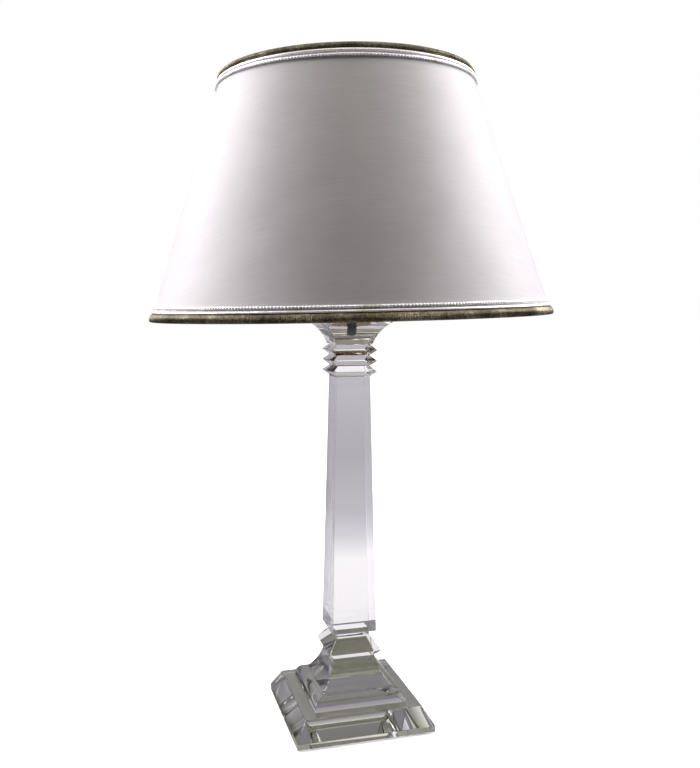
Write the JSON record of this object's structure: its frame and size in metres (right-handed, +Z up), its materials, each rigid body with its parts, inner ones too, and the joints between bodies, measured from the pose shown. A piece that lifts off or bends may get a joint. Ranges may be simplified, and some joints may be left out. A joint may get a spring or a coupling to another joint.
{
  "type": "table lamp",
  "caption": "Clear crystal candlestick table lamp: stepped square base, tapered column, V-edged rings and flared capital under a round satin empire shade on a harp.",
  "frame": {"origin": "centre of the footprint on the table, at the underside of the foot pads", "axes": "+Z up; -Y the front, with the switch key; the harp's plane is XZ; the cord leaves towards +Y"},
  "size_m": [0.3981, 0.3982, 0.6614],
  "materials": {
    "crystal": "clear polished crystal, faint olive tint in thick parts",
    "pad": "soft clear-grey bumper",
    "black_steel": "blackened threaded steel",
    "brass": "polished and lacquered",
    "steel": "plain zinc-plated",
    "white_enamel": "white enamelled wire",
    "fibre": "brown pressed fibre",
    "moulded_black": "thermoset moulding",
    "knob_black": "glossy moulded",
    "screw_metal": "pressed sheet",
    "solder": "domed solder",
    "black_glass": "black vitrite",
    "frosted_glass": "inside-frosted white",
    "satin": "silver-lilac satin weave with a soft sheen",
    "styrene": "white pressure-sensitive styrene",
    "binding": "folded satin ribbon, dark grey-olive",
    "gimp": "woven braid, silver with gold-olive flecks"
  },
  "bodies": {
    "base": {"base_plinth": "crystal", "foot_block": "crystal", "foot_collar": "crystal", "foot_pads": "pad", "column_shaft": "crystal", "ring_lower": "crystal", "ring_middle": "crystal", "ring_upper": "crystal", "capital": "crystal", "nipple": "black_steel", "check_ring": "brass", "lock_nut": "brass", "harp_saddle": "brass", "socket_cap": "brass", "cord_bushing": "moulded_black", "set_screw": "steel", "socket_shell": "brass", "shell_liner": "fibre", "holder_body": "moulded_black", "screw_shell": "screw_metal", "centre_contact": "brass", "terminal_screws": "brass"},
    "switch": {"switch_shaft": "brass", "switch_knob": "knob_black"},
    "bulb_lead": {"bulb_tip": "solder"},
    "bulb": {"bulb_insulator": "black_glass", "bulb_cap": "screw_metal", "bulb_globe": "frosted_glass", "bulb_stem": "frosted_glass"},
    "harp": {"harp_wire": "brass", "harp_seat": "brass"},
    "sleeve_left": {"harp_sleeve_left": "brass"},
    "sleeve_right": {"harp_sleeve_right": "brass"},
    "stud": {"harp_stud": "brass"},
    "shade": {"shade_fabric": "satin", "shade_lining": "styrene", "bottom_ring": "white_enamel", "bottom_binding": "binding", "bottom_gimp": "gimp", "top_ring": "white_enamel", "top_binding": "binding", "top_gimp": "gimp", "spider_washer": "brass", "spider_arms": "brass"},
    "finial_lead": {"finial_bush": "brass"},
    "finial": {"finial_knob": "brass"}
  },
  "joints": [
    {"name": "key_turn", "type": "hinge", "parent": "base", "child": "switch", "pos_m": [0, -0.024, 0.461], "axis": [0, -1, 0], "continuous": true},
    {"name": "bulb_rise", "type": "slide", "parent": "base", "child": "bulb_lead", "axis": [0, 0, 1], "range_m": [0, 0.0181]},
    {"name": "bulb_turn", "type": "hinge", "parent": "bulb_lead", "child": "bulb", "pos_m": [0, 0, 0.473], "axis": [0, 0, 1], "range_deg": [0, 1800]},
    {"name": "harp_lift", "type": "slide", "parent": "base", "child": "harp", "axis": [-0.0243, 0, 0.9997], "range_m": [0, 0.04]},
    {"name": "left_sleeve_lift", "type": "slide", "parent": "harp", "child": "sleeve_left", "axis": [-0.0243, 0, 0.9997], "range_m": [0, 0.015]},
    {"name": "right_sleeve_lift", "type": "slide", "parent": "harp", "child": "sleeve_right", "axis": [-0.0243, 0, 0.9997], "range_m": [0, 0.015]},
    {"name": "stud_swivel", "type": "hinge", "parent": "harp", "child": "stud", "pos_m": [0, 0, 0.4261], "axis": [-0.0243, 0, 0.9997], "continuous": true},
    {"name": "shade_lift", "type": "slide", "parent": "stud", "child": "shade", "axis": [-0.0243, 0, 0.9997], "range_m": [0, 0.26]},
    {"name": "finial_rise", "type": "slide", "parent": "shade", "child": "finial_lead", "axis": [-0.0243, 0, 0.9997], "range_m": [0, 0.0108]},
    {"name": "finial_turn", "type": "hinge", "parent": "finial_lead", "child": "finial", "pos_m": [0, 0, 0.4261], "axis": [-0.0243, 0, 0.9997], "range_deg": [0, 4140]}
  ],
  "couplings": [
    {"joint": "bulb_turn", "follows": "bulb_rise", "rad_per_m": 1730.9},
    {"joint": "finial_turn", "follows": "finial_rise", "rad_per_m": 6684.2}
  ]
}
